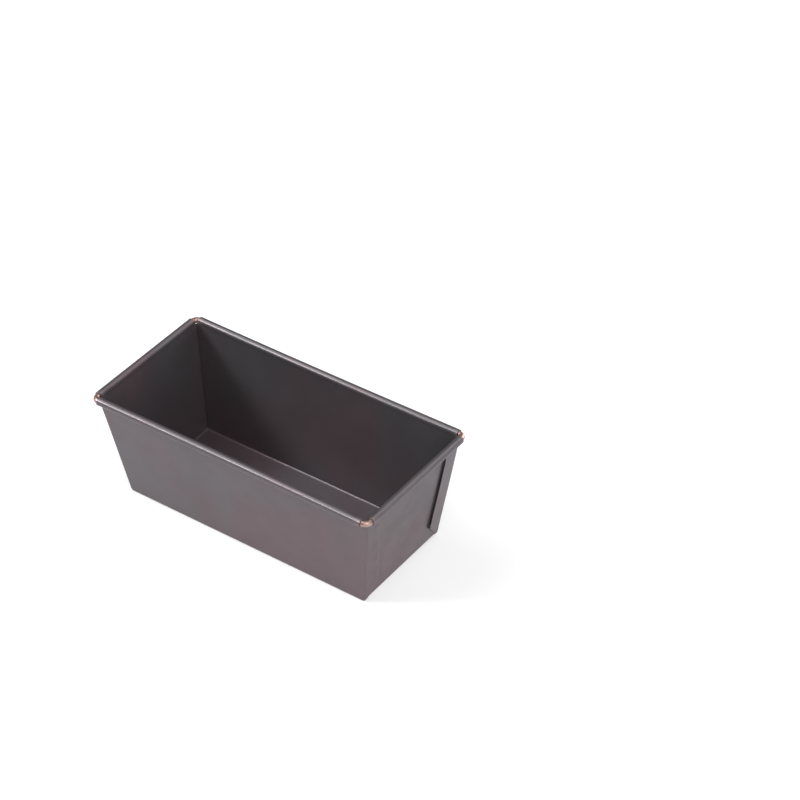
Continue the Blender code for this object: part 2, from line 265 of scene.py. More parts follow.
@dataclass(frozen=True)
class CornerFlap:
    """The blank's spare sheet at a corner, folded flat against the end wall in two layers."""

    sizes: PanSizes
    long_wall: Wall
    end_wall: Wall
    width: float = 0.0125
    fold_top: float = 0.0139
    fold_rise: float = 0.0007
    hairpin_play: float = 0.0001
    play: float = 0.0001
    top_clearance: float = 0.00025
    slot_foot: float = 0.0005
    slot_head: float = 0.0003
    layer_set_back: float = 0.002
    set_back_rise: float = 0.002
    pinch_start: float = 0.0086
    pinch_end: float = 0.0060
    lead: float = 0.0011
    wire_clearance: float = 0.00035
    least_drop: float = 0.0006
    fit_rounds: int = 4
    bend_steps: int = 8
    layer_steps: int = 6
    turn_steps: int = 12

    @property
    def top(self) -> float:
        """Height of the flap's top edge, just under the hem."""
        return self.sizes.bead_height - self.sizes.bead_radius - self.top_clearance

    @property
    def foot(self) -> float:
        """Height at which the fold opens out of the solid corner."""
        return self.sizes.sheet + self.sizes.floor_bend + self.fold_rise

    @property
    def hairpin(self) -> float:
        """Radius at which the sheet's middle turns back into the end wall."""
        return (self.hairpin_play + self.sizes.sheet) / 2

    def slot_width(self, height: float) -> float:
        """Gap between the flap's two layers along their free edges, at one height."""
        pinch_foot = self.top - self.pinch_start
        pinch_head = self.top - self.pinch_end
        if height <= self.fold_top:
            return mix(self.play, self.slot_foot, height / self.fold_top)
        if height <= pinch_foot:
            share = (height - self.fold_top) / (pinch_foot - self.fold_top)
            return mix(self.slot_foot, self.slot_head, share)
        share = min(1.0, (height - pinch_foot) / (pinch_head - pinch_foot))
        return mix(self.slot_head, self.play, share)

    def set_back(self, height: float) -> float:
        """How far behind the outer layer's free edge the inner layer's lies, at one height."""
        rise = min(1.0, max(0.0, height - self.fold_top) / self.set_back_rise)
        return rise * self.layer_set_back

    def hairpin_y(self, long_y: float) -> float:
        """Where the end wall's hairpin turns back, beside the long wall."""
        return long_y - self.sizes.sheet - self.play - self.hairpin

    def end_stretch_end(self, long_y: float) -> float:
        """Where the end wall's straight stretch and its hem stop, short of the hairpin."""
        return self.hairpin_y(long_y) - self.sizes.end_hem_step

    def plan(self, end_x: float, long_y: float, height: float, face: Face) -> CornerRuns:
        """Lay out one face of the sheet through the corner at one height.

        Args:
            end_x: The end wall's middle line, from the pan's middle.
            long_y: The long wall's middle line, from the pan's middle.
            height: The height.
            face: Which face of the sheet.

        Returns:
            The three runs, from the long wall round to the end wall.
        """
        half_x = face.value * self.end_wall.half_run
        half_y = face.value * self.long_wall.half_run
        inner_x = end_x + 2 * self.hairpin
        outer_x = inner_x + self.sizes.sheet + self.play
        half_turn = (outer_x + self.slot_width(height) - self.play - inner_x) / 2
        free_y = long_y + self.sizes.half_sheet - self.width * min(1.0, height / self.fold_top)
        bend = self.sizes.corner_bend + self.sizes.half_sheet

        bend_radii = (bend + half_x, bend + half_y)
        fold_radii = (half_turn + half_x, half_turn + half_y)
        hairpin_radii = (self.hairpin - half_x, self.hairpin - half_y)
        bend_centre = (outer_x - bend, long_y - bend)
        hairpin_centre = (end_x + self.hairpin, self.hairpin_y(long_y))
        corner = [(bend_centre[0] - self.lead, long_y + half_y)]
        corner += arc(bend_centre, bend_radii, QUARTER_TURN, 0.0, self.bend_steps)
        fold = arc((inner_x + half_turn, free_y), fold_radii, 0.0, -math.pi, self.turn_steps)
        hairpin = arc(hairpin_centre, hairpin_radii, 0.0, math.pi, self.turn_steps)
        fold[-1] = (fold[-1][0], fold[-1][1] + self.set_back(height))
        outer_layer = corner + straight(corner[-1], fold[0], self.layer_steps)
        inner_layer = straight(fold[-1], hairpin[0], self.layer_steps) + hairpin
        return CornerRuns(outer_layer, fold, inner_layer)

    def corner_points(self, height: float, face: Face) -> list[Point]:
        """Points of the bend and the hairpin on one face, at one height."""
        runs = self.plan(self.end_wall.at(height), self.long_wall.at(height), height, face)
        return runs.outer_layer[:self.bend_steps + 2] + runs.inner_layer[-self.turn_steps:]

    def cradle_height(self, index: int) -> float:
        """Find how high the corner's sheet reaches beside and under the bare wire.

        Args:
            index: Which of the corner's points.

        Returns:
            The height of the cut edge there.
        """
        sizes = self.sizes
        reach = sizes.wire_diameter / 2 + self.wire_clearance
        height = self.top
        for _ in range(self.fit_rounds):
            outer, inner = (self.corner_points(height, face)[index] for face in Face)
            ahead = (outer[0] + inner[0]) / 2 - sizes.bead_half_length + sizes.wire_corner
            across = (outer[1] + inner[1]) / 2 - sizes.bead_half_width + sizes.wire_corner
            aside = sizes.wire_corner - math.hypot(max(0.0, ahead), max(0.0, across))
            drop = max(self.least_drop ** 2, reach ** 2 - aside ** 2)
            height = sizes.bead_height - math.sqrt(drop)
        return height

    def solid_plan(self, end_x: float, long_y: float, face: Face, folded_share: float) -> list[Point]:
        """Lay out one face of the solid corner below the fold.

        Args:
            end_x: The end wall's middle line, from the pan's middle.
            long_y: The long wall's middle line, from the pan's middle.
            face: Which face of the sheet.
            folded_share: How far the corner has gone from a plain one to the folded one.

        Returns:
            The points round the corner.
        """
        runs = self.plan(end_x, long_y, self.foot, face)
        if face is Face.OUTER:
            folded = runs.outer_layer + runs.fold
        else:
            folded = runs.outer_layer[:1] + runs.inner_layer[-1 - self.turn_steps // 2:]
        radius = self.sizes.solid_bend + self.sizes.half_sheet
        centre = (end_x - radius, long_y - radius)
        run_x = face.value * self.end_wall.half_run
        run_y = face.value * self.long_wall.half_run
        plain = arc(centre, (radius + run_x, radius + run_y), QUARTER_TURN, 0.0, len(folded) - 1)
        pairs = zip(plain, folded)
        return [(mix(p[0], f[0], folded_share), mix(p[1], f[1], folded_share)) for p, f in pairs]


@dataclass
class SheetRow:
    """One level row of one face of the sheet above the solid corner, as named runs of vertices."""

    height: float
    long_run: Run
    outer_layer: Run
    fold: Run
    inner_layer: Run
    end_run: Run

    def whole(self) -> Run:
        """The row as one run, for rows below the slot."""
        return self.long_run + self.outer_layer + self.fold + self.inner_layer + self.end_run

    def side(self, side: Side) -> Run:
        """The part of the row on one side of the slot, from or to its free edge."""
        if side is Side.LONG:
            return self.long_run + self.outer_layer + self.fold[:1]
        return self.fold[-1:] + self.inner_layer + self.end_run


@dataclass
class QuarterSheet:
    """A quarter of the folded sheet with both its faces, open at the planes x = 0 and y = 0."""

    sizes: PanSizes
    long_wall: Wall
    end_wall: Wall
    flap: CornerFlap
    floor_bend_steps: int = 8
    hem_steps: int = 40
    long_steps: int = 22
    end_steps: int = 10
    fold_rows: int = 8
    slot_rows: int = 22
    pinch_rows: int = 5
    floor_rings: int = 10
    solid_full_share: float = 0.7
    solid_ease: float = 1.4
    mesh: bmesh.types.BMesh = field(default_factory=bmesh.new)
    bevel: bmesh.types.BMLayerItem = field(init=False)
    cut: bmesh.types.BMLayerItem = field(init=False)

    def __post_init__(self) -> None:
        """Add the layers that mark the cut edges."""
        self.bevel = self.mesh.edges.layers.float.new("bevel_weight_edge")
        self.cut = self.mesh.verts.layers.float.new("cut_edge")

    def build(self) -> bmesh.types.BMesh:
        """Loft both faces of the sheet and close it along its cut edges."""
        rows: dict[Face, list[SheetRow]] = {}
        hems: dict[Face, dict[Side, list[Run]]] = {}
        for face in Face:
            rows[face] = [self.row(height, face) for height in self.row_heights()]
            for lower, upper in zip(rows[face], rows[face][1:]):
                if len(lower.fold) > 2 and len(upper.fold) > 2:
                    self.strip(lower.whole(), upper.whole(), face)
                else:
                    for side in Side:
                        self.strip(lower.side(side), upper.side(side), face)
            self.add_floor_and_bends(face, rows[face][0])
            hems[face] = self.add_hems(face, rows[face][-1])
        self.close_slot(rows)
        self.close_top(rows)
        self.close_hems(hems)
        return self.mesh

    def place(self, points: list[Point], height: float) -> Run:
        """Vertices at one height."""
        return [self.mesh.verts.new((x, y, height)) for x, y in points]

    def long_stretch(self, x_end: float, distance: float, height: float) -> Run:
        """Vertices along the long wall, from its middle to the end of its straight stretch."""
        xs = [x_end * share for share in steps(self.long_steps)]
        return self.place([(x, distance - self.sizes.bow(x, x_end, height)) for x in xs], height)

    def end_stretch(self, y_end: float, distance: float, height: float) -> Run:
        """Vertices along the end wall, from the end of its straight stretch to its middle."""
        ys = [y_end * share for share in reversed(steps(self.end_steps))]
        return self.place([(distance, y) for y in ys], height)

    def long_stretch_end(self, end_x: float) -> float:
        """Where the long wall's straight stretch stops, at one step from the corner all the way up."""
        return self.sizes.long_hem_end + end_x - self.end_wall.at(self.flap.top)

    def row_heights(self) -> list[float]:
        """Heights of the level rows, from the foot of the fold to the top of the flap."""
        flap = self.flap
        pinch_foot = flap.top - flap.pinch_start
        pinch_head = flap.top - flap.pinch_end
        heights = [mix(flap.foot, flap.fold_top, share) for share in steps(self.fold_rows)]
        heights += [mix(flap.fold_top, pinch_foot, share) for share in steps(self.slot_rows)[1:]]
        heights += [mix(pinch_foot, pinch_head, share) for share in steps(self.pinch_rows)[1:]]
        heights += [mix(pinch_head, flap.top, share) for share in steps(self.pinch_rows)[1:]]
        return heights

    def row(self, height: float, face: Face) -> SheetRow:
        """Lay out one level row of one face.

        Args:
            height: The row's height.
            face: Which face of the sheet.

        Returns:
            The row's vertices.
        """
        end_x = self.end_wall.at(height)
        long_y = self.long_wall.at(height)
        runs = self.flap.plan(end_x, long_y, height, face)
        is_folded = height <= self.flap.fold_top
        long_distance = self.long_wall.at(height, face.value)
        end_distance = self.end_wall.at(height, face.value)
        row = SheetRow(
            height,
            self.long_stretch(self.long_stretch_end(end_x), long_distance, height),
            self.place(runs.outer_layer, height),
            self.place(runs.fold if is_folded else [runs.fold[0], runs.fold[-1]], height),
            self.place(runs.inner_layer, height),
            self.end_stretch(self.flap.end_stretch_end(long_y), end_distance, height),
        )
        if height == self.flap.top:
            self.raise_corner(row, face)
        return row

    def raise_corner(self, row: SheetRow, face: Face) -> None:
        """Lift the top row's bend and hairpin, which fill the corner up to the bare wire.

        Args:
            row: The highest level row of that face.
            face: Which face of the sheet.
        """
        bend = row.outer_layer[:self.flap.bend_steps + 2]
        hairpin = row.inner_layer[-self.flap.turn_steps:]
        heights = [self.flap.cradle_height(index) for index in range(len(bend + hairpin))]
        heights[len(bend):] = [min(heights[len(bend):])] * len(hairpin)
        for index, vertex in enumerate(bend + hairpin):
            place = self.flap.corner_points(heights[index], face)[index]
            vertex.co = (*place, heights[index])

    def polygon(self, corners: Run, face: Face) -> None:
        """One polygon, turned round on the sheet's inner face."""
        self.mesh.faces.new(corners if face is Face.OUTER else list(reversed(corners)))

    def strip(self, lower: Run, upper: Run, face: Face) -> None:
        """Faces between two rows of one face of the sheet, pointing out of the sheet."""
        for column in range(len(lower) - 1):
            self.polygon([lower[column], upper[column], upper[column + 1], lower[column + 1]], face)

    def cut_edge(self, outer_run: Run, inner_run: Run) -> None:
        """Close the sheet along a cut, and mark both its edges to be rounded.

        Args:
            outer_run: Vertices of the outer face, with the cut on their right.
            inner_run: Vertices of the inner face beside them.
        """
        for column in range(len(outer_run) - 1):
            ahead = column + 1
            quad = [outer_run[column], outer_run[ahead], inner_run[ahead], inner_run[column]]
            made = self.mesh.faces.new(quad)
            made.edges[0][self.bevel] = 1.0
            made.edges[2][self.bevel] = 1.0
        for vertex in outer_run + inner_run:
            vertex[self.cut] = 1.0

    def add_floor_and_bends(self, face: Face, foot: SheetRow) -> None:
        """Loft the floor, its bends and the solid corner, up to the foot of the fold.

        Args:
            face: Which face of the sheet.
            foot: The lowest level row of that face.
        """
        half_turn = self.flap.turn_steps // 2
        rows = [self.bend_row(share, face) for share in steps(self.floor_bend_steps)]
        if face is Face.OUTER:
            top = foot.long_run + foot.outer_layer + foot.fold + foot.end_run
            crevice = [foot.fold[-1]] + foot.inner_layer + foot.end_run[:1]
        else:
            first_inner = len(foot.inner_layer) - 1 - half_turn
            top = foot.long_run + foot.outer_layer[:1] + foot.inner_layer[first_inner:] + foot.end_run
            crevice = foot.outer_layer + foot.fold + foot.inner_layer[:first_inner + 1]
        rows.append(top)
        for lower, upper in zip(rows, rows[1:]):
            self.strip(lower, upper, face)
        self.polygon(crevice, face)
        self.add_floor(face, rows[0])

    def bend_row(self, share: float, face: Face) -> Run:
        """Lay out one row of one face on the bend between floor and walls.

        Args:
            share: How far round the bend, from the floor to the walls.
            face: Which face of the sheet.

        Returns:
            The row's vertices, from the long wall's middle to the end wall's.
        """
        folded_share = self.solid_full_share * share ** self.solid_ease
        long_y, long_z = self.long_wall.bend_point(share, face)
        end_x, end_z = self.end_wall.bend_point(share, face)
        run_x = face.value * self.end_wall.half_run
        run_y = face.value * self.long_wall.half_run
        middle_x = end_x - run_x * share
        middle_y = long_y - run_y * share
        corner = self.flap.solid_plan(middle_x, middle_y, face, folded_share)
        row = self.long_stretch(self.long_stretch_end(middle_x), long_y, long_z)
        for index, (x, y) in enumerate(corner):
            height = mix(long_z, end_z, index / (len(corner) - 1))
            shifted = (x + end_x - middle_x - run_x, y + long_y - middle_y - run_y)
            row += self.place([shifted], height)
        return row + self.end_stretch(self.flap.end_stretch_end(middle_y), end_x, end_z)

    def add_floor(self, face: Face, rim: Run) -> None:
        """Fill one face of the floor with rings that shrink to the middle of the pan.

        Args:
            face: Which face of the sheet.
            rim: The vertices where the floor meets its bend.
        """
        previous = rim
        for share in reversed(steps(self.floor_rings)[1:-1]):
            ring = [self.mesh.verts.new((v.co.x * share, v.co.y * share, v.co.z)) for v in rim]
            self.strip(ring, previous, face)
            previous = ring
        centre = self.mesh.verts.new((0.0, 0.0, rim[0].co.z))
        for first, second in zip(previous, previous[1:]):
            self.polygon([centre, first, second], face)

    def add_hems(self, face: Face, top: SheetRow) -> dict[Side, list[Run]]:
        """Roll both walls' top edges outward.

        Args:
            face: Which face of the sheet.
            top: The highest level row of that face.

        Returns:
            The rows of each hem, from the wall to the lip.
        """
        hems = {Side.LONG: [top.long_run], Side.END: [top.end_run]}
        y_end = self.flap.end_stretch_end(self.long_wall.at(self.flap.top))
        for share in steps(self.hem_steps):
            distance, height = self.long_wall.hem_point(share, face)
            hems[Side.LONG].append(self.long_stretch(self.sizes.long_hem_end, distance, height))
            distance, height = self.end_wall.hem_point(share, face)
            hems[Side.END].append(self.end_stretch(y_end, distance, height))
        for rows in hems.values():
            for lower, upper in zip(rows, rows[1:]):
                self.strip(lower, upper, face)
        return hems

    def close_slot(self, rows: dict[Face, list[SheetRow]]) -> None:
        """Close the flap's cut edges along its slot, and the top of the fold between them."""
        outer = [row for row in rows[Face.OUTER] if row.height >= self.flap.fold_top]
        inner = [row for row in rows[Face.INNER] if row.height >= self.flap.fold_top]
        self.cut_edge([row.fold[0] for row in outer], [row.fold[0] for row in inner])
        self.cut_edge([row.fold[-1] for row in inner], [row.fold[-1] for row in outer])
        self.cut_edge(inner[0].fold, outer[0].fold)

    def close_top(self, rows: dict[Face, list[SheetRow]]) -> None:
        """Close the sheet's cut edge over the corner, between the ends of the two hems."""
        outer, inner = rows[Face.OUTER][-1], rows[Face.INNER][-1]
        outer_long = outer.long_run[-1:] + outer.outer_layer + outer.fold[:1]
        inner_long = inner.long_run[-1:] + inner.outer_layer + inner.fold[:1]
        outer_end = outer.fold[-1:] + outer.inner_layer + outer.end_run[:1]
        inner_end = inner.fold[-1:] + inner.inner_layer + inner.end_run[:1]
        self.cut_edge(inner_long, outer_long)
        self.cut_edge(inner_end, outer_end)

    def close_hems(self, hems: dict[Face, dict[Side, list[Run]]]) -> None:
        """Close the hems' cut ends beside the corner, and their lips."""
        outer, inner = hems[Face.OUTER], hems[Face.INNER]
        self.cut_edge([row[-1] for row in outer[Side.LONG]], [row[-1] for row in inner[Side.LONG]])
        self.cut_edge([row[0] for row in inner[Side.END]], [row[0] for row in outer[Side.END]])
        for side in Side:
            self.cut_edge(inner[side][-1], outer[side][-1])


class NodeTree:
    """A node tree under construction, in which nodes are added with their inputs already set."""

    def __init__(self, tree: bpy.types.NodeTree) -> None:
        """Keep the tree that nodes go into."""
        self.tree = tree

    def add(self, kind: str, inputs: dict | None = None, **settings: object) -> bpy.types.Node:
        """Add one node.

        Args:
            kind: The node's type name.
            inputs: Values or output sockets for its inputs, by name or by number.
            settings: The node's own settings, by name.

        Returns:
            The node.
        """
        node = self.tree.nodes.new(kind)
        for name, value in settings.items():
            setattr(node, name, value)
        for key, value in (inputs or {}).items():
            self.feed(node.inputs[key], value)
        return node

    def feed(self, socket: Socket, value: object) -> None:
        """Give an input another node's result, or a plain value."""
        if isinstance(value, Socket):
            self.tree.links.new(value, socket)
        else:
            socket.default_value = value

    def math(self, operation: str, *values: object) -> Socket:
        """Add a sum on one to three numbers, and give back its result."""
        return self.add("ShaderNodeMath", dict(enumerate(values)), operation=operation).outputs[0]

    def blend(self, share: object, first: object, second: object) -> Socket:
        """Add a mix of two colours, and give back its result."""
        node = self.add("ShaderNodeMix", {0: share, 6: first, 7: second}, data_type="RGBA")
        return node.outputs[2]

    def ramp(self, value: object, low: float, high: float) -> Socket:
        """Add a smooth rise from 0 to 1.

        Args:
            value: What is mapped.
            low: Where the rise starts.
            high: Where it ends.

        Returns:
            The result's socket.
        """
        inputs = {0: value, 1: low, 2: high}
        return self.add("ShaderNodeMapRange", inputs, interpolation_type="SMOOTHSTEP").outputs[0]


class GeometryTree(NodeTree):
    """A geometry node tree with named inputs, which ends in Realize Instances and Set Material."""

    def __init__(self, name: str, numbers: dict[str, float], whole_numbers: dict[str, int]) -> None:
        """Make the tree and its inputs.

        Args:
            name: The tree's name.
            numbers: Its inputs that are sizes, with their values.
            whole_numbers: Its inputs that are counts or seeds, with their values.
        """
        super().__init__(bpy.data.node_groups.new(name, "GeometryNodeTree"))
        self.tree.is_modifier = True
        face = self.tree.interface
        face.new_socket("Geometry", in_out="INPUT", socket_type="NodeSocketGeometry")
        face.new_socket("Geometry", in_out="OUTPUT", socket_type="NodeSocketGeometry")
        face.new_socket("Finish", in_out="INPUT", socket_type="NodeSocketMaterial")
        kinds = {"NodeSocketFloat": numbers, "NodeSocketInt": whole_numbers}
        for kind, labels in kinds.items():
            for label in labels:
                face.new_socket(label, in_out="INPUT", socket_type=kind)
        self.values = {**numbers, **whole_numbers}
        self.given = self.tree.nodes.new("NodeGroupInput").outputs

    def finish(self, geometry: Socket) -> None:
        """End the tree: smooth shading, real meshes and the finish."""
        smooth = self.add("GeometryNodeSetShadeSmooth", {0: geometry})
        real = self.add("GeometryNodeRealizeInstances", {0: smooth.outputs[0]})
        coated = self.add("GeometryNodeSetMaterial", {0: real.outputs[0], "Material": self.given["Finish"]})
        self.add("NodeGroupOutput", {0: coated.outputs[0]})

    def make_mesh(self, source: bpy.types.Object, finish: bpy.types.Material, name: str) -> bpy.types.Object:
        """Run the tree on an object and keep the result as a plain mesh.

        Args:
            source: The object that the tree starts from, which is removed.
            finish: The material that it ends with.
            name: The new piece's name.

        Returns:
            The piece.
        """
        modifier = source.modifiers.new(self.tree.name, "NODES")
        modifier.node_group = self.tree
        for item in self.tree.interface.items_tree:
            if item.in_out == "INPUT" and item.name in self.values:
                modifier[item.identifier] = self.values[item.name]
            if item.in_out == "INPUT" and item.name == "Finish":
                modifier[item.identifier] = finish
        graph = bpy.context.evaluated_depsgraph_get()
        data = bpy.data.meshes.new_from_object(source.evaluated_get(graph), depsgraph=graph)
        source.modifiers.remove(modifier)
        bpy.data.objects.remove(source)
        data.name = name
        piece = bpy.data.objects.new(name, data)
        bpy.context.scene.collection.objects.link(piece)
        return piece


def add_source(name: str, data: bpy.types.ID) -> bpy.types.Object:
    """Put a mesh or a curve that a tree starts from in the scene."""
    source = bpy.data.objects.new(name, data)
    bpy.context.scene.collection.objects.link(source)
    return source


class ShaderGroup(NodeTree):
    """A shader node group that more than one finish uses, with named inputs and outputs."""

    def __init__(self, name: str, inputs: dict[str, float], outputs: list[str]) -> None:
        """Make the group and its sockets.

        Args:
            name: The group's name.
            inputs: Its number inputs with their usual values.
            outputs: Its number outputs.
        """
        super().__init__(bpy.data.node_groups.new(name, "ShaderNodeTree"))
        for label, value in inputs.items():
            socket = self.tree.interface.new_socket(label, in_out="INPUT", socket_type="NodeSocketFloat")
            socket.default_value = value
        for label in outputs:
            self.tree.interface.new_socket(label, in_out="OUTPUT", socket_type="NodeSocketFloat")
        self.given = self.tree.nodes.new("NodeGroupInput").outputs
        self.place = self.add("ShaderNodeTexCoord").outputs["Object"]

    def noise(self, scale: object, detail: float, roughness: float) -> Socket:
        """Add a noise on the object's own coordinates, and give back its value."""
        inputs = {"Vector": self.place, "Scale": scale, "Detail": detail, "Roughness": roughness}
        return self.add("ShaderNodeTexNoise", inputs).outputs[0]

    def give(self, **results: object) -> None:
        """Lead the results to the group's outputs, by name with spaces as low lines."""
        self.add("NodeGroupOutput", {name.replace("_", " "): value for name, value in results.items()})


@dataclass
class Effects:
    """The shader groups that the finishes share, each built once."""

    patch_edge: Point = (0.35, 0.65)
    break_edge: Point = (0.3, 0.6)
    coarse_share: float = 0.3
    mottle: bpy.types.NodeTree = field(init=False)
    grain: bpy.types.NodeTree = field(init=False)
    rub: bpy.types.NodeTree = field(init=False)

    def __post_init__(self) -> None:
        """Build the groups."""
        self.mottle = self.build_mottle()
        self.grain = self.build_grain()
        self.rub = self.build_rub()

    def build_mottle(self) -> bpy.types.NodeTree:
        """Cloudy patches at two scales: one for a slow drift of colour, one for smudges in the sheen."""
        group = ShaderGroup("mottle", {"Patch Scale": 18.0, "Smudge Scale": 60.0}, ["Patch", "Smudge"])
        patch = group.noise(group.given["Patch Scale"], detail=2.0, roughness=0.5)
        smudge = group.noise(group.given["Smudge Scale"], detail=4.0, roughness=0.6)
        group.give(Patch=group.ramp(patch, *self.patch_edge), Smudge=group.ramp(smudge, *self.patch_edge))
        return group.tree

    def build_grain(self) -> bpy.types.NodeTree:
        """Fine texture of a sprayed or drawn surface, as a height."""
        group = ShaderGroup("grain", {"Grain Scale": 2500.0}, ["Height"])
        coarse_scale = group.math("MULTIPLY", group.given["Grain Scale"], self.coarse_share)
        fine = group.noise(group.given["Grain Scale"], detail=3.0, roughness=0.6)
        coarse = group.noise(coarse_scale, detail=2.0, roughness=0.5)
        group.give(Height=group.math("ADD", fine, coarse))
        return group.tree

    def build_rub(self) -> bpy.types.NodeTree:
        """Where a marked edge is rubbed bright, broken up by noise."""
        group = ShaderGroup("rub", {"Edge": 0.0, "Break Scale": 400.0, "Amount": 0.5}, ["Mask"])
        breaks = group.noise(group.given["Break Scale"], detail=3.0, roughness=0.6)
        shown = group.math("MULTIPLY", group.given["Edge"], group.ramp(breaks, *self.break_edge))
        group.give(Mask=group.math("MULTIPLY", shown, group.given["Amount"]))
        return group.tree


class Finish(NodeTree):
    """A material under construction round its Principled shader."""

    def __init__(self, name: str) -> None:
        """Make the material with a shader and nothing else."""
        self.material = bpy.data.materials.new(name)
        self.material.use_nodes = True
        super().__init__(self.material.node_tree)
        self.shader = self.tree.nodes["Principled BSDF"]

    def effect(self, group: bpy.types.NodeTree, **inputs: object) -> bpy.types.Node:
        """Add a shared effect with this finish's own values, named with low lines for spaces."""
        named = {name.replace("_", " "): value for name, value in inputs.items()}
        return self.add("ShaderNodeGroup", named, node_tree=group)

    def set(self, **inputs: object) -> None:
        """Set the shader's inputs, named with low lines for spaces."""
        for name, value in inputs.items():
            self.feed(self.shader.inputs[name.replace("_", " ")], value)

    def bump(self, height: Socket, distance: float, strength: float) -> None:
        """Feed the shader a normal from a height."""
        inputs = {"Height": height, "Distance": distance, "Strength": strength}
        self.set(Normal=self.add("ShaderNodeBump", inputs).outputs[0])


@dataclass(frozen=True)
class NonstickCoating:
    """Dark satin coating on sheet steel: neutral grey that drifts to a warmer grey in patches."""

    cool: Colour = (0.107, 0.098, 0.106)
    warm: Colour = (0.121, 0.090, 0.100)
    bare_edge: Colour = (0.42, 0.39, 0.38)
    grazing_tint: Colour = (0.85, 0.82, 0.83)
    metallic: float = 0.6
    roughness: float = 0.36
    smudge_depth: float = 0.10
    patch_scale: float = 14.0
    smudge_scale: float = 45.0
    grain_scale: float = 2600.0
    grain_depth: float = 0.00002
    grain_strength: float = 0.25
    break_scale: float = 500.0
    rub: float = 0.15

    def build(self, effects: Effects) -> bpy.types.Material:
        """Build the coating's material."""
        finish = Finish("nonstick_coating")
        edge = finish.add("ShaderNodeAttribute", attribute_name="cut_edge").outputs["Fac"]
        mottle = finish.effect(effects.mottle, Patch_Scale=self.patch_scale, Smudge_Scale=self.smudge_scale)
        grain = finish.effect(effects.grain, Grain_Scale=self.grain_scale)
        rub = finish.effect(effects.rub, Edge=edge, Break_Scale=self.break_scale, Amount=self.rub)
        colour = finish.blend(mottle.outputs["Patch"], (*self.cool, 1.0), (*self.warm, 1.0))
        colour = finish.blend(rub.outputs["Mask"], colour, (*self.bare_edge, 1.0))
        least = self.roughness - self.smudge_depth / 2
        rough = finish.math("MULTIPLY_ADD", mottle.outputs["Smudge"], self.smudge_depth, least)
        finish.set(Base_Color=colour, Metallic=self.metallic, Roughness=rough)
        finish.set(Specular_Tint=(*self.grazing_tint, 1.0))
        finish.bump(grain.outputs["Height"], self.grain_depth, self.grain_strength)
        return finish.material


@dataclass(frozen=True)
class CopperWire:
    """Copper-coated drawn wire, bright with slight tarnish."""

    bright: Colour = (0.40, 0.27, 0.235)
    tarnish: Colour = (0.26, 0.165, 0.14)
    tarnish_share: float = 0.45
    roughness: float = 0.30
    smudge_depth: float = 0.12
    metallic: float = 0.9
    patch_scale: float = 220.0
    smudge_scale: float = 900.0
    grain_scale: float = 3500.0
    grain_depth: float = 0.00002
    grain_strength: float = 0.3

    def build(self, effects: Effects) -> bpy.types.Material:
        """Build the wire's material."""
        finish = Finish("copper_coated_wire")
        mottle = finish.effect(effects.mottle, Patch_Scale=self.patch_scale, Smudge_Scale=self.smudge_scale)
        grain = finish.effect(effects.grain, Grain_Scale=self.grain_scale)
        share = finish.math("MULTIPLY", mottle.outputs["Patch"], self.tarnish_share)
        colour = finish.blend(share, (*self.bright, 1.0), (*self.tarnish, 1.0))
        rough = finish.math("MULTIPLY_ADD", mottle.outputs["Smudge"], self.smudge_depth, self.roughness)
        finish.set(Base_Color=colour, Metallic=self.metallic, Roughness=rough)
        finish.bump(grain.outputs["Height"], self.grain_depth, self.grain_strength)
        return finish.material


@dataclass(frozen=True)
class PaleFloor:
    """Matt white paper under the pan, which glows faintly so that it stays pale."""

    colour: Colour = (0.6, 0.6, 0.6)
    glow_colour: Colour = (1.0, 1.0, 1.0)
    glow: float = 0.33
    roughness: float = 0.9
    gloss: float = 0.1
    grain_scale: float = 900.0
    grain_depth: float = 0.00005
    grain_strength: float = 0.1

    def build(self, effects: Effects) -> bpy.types.Material:
        """Build the floor's material."""
        finish = Finish("pale_paper")
        grain = finish.effect(effects.grain, Grain_Scale=self.grain_scale)
        finish.set(Base_Color=(*self.colour, 1.0), Roughness=self.roughness, Specular_IOR_Level=self.gloss)
        finish.set(Emission_Color=(*self.glow_colour, 1.0), Emission_Strength=self.glow)
        finish.bump(grain.outputs["Height"], self.grain_depth, self.grain_strength)
        return finish.material


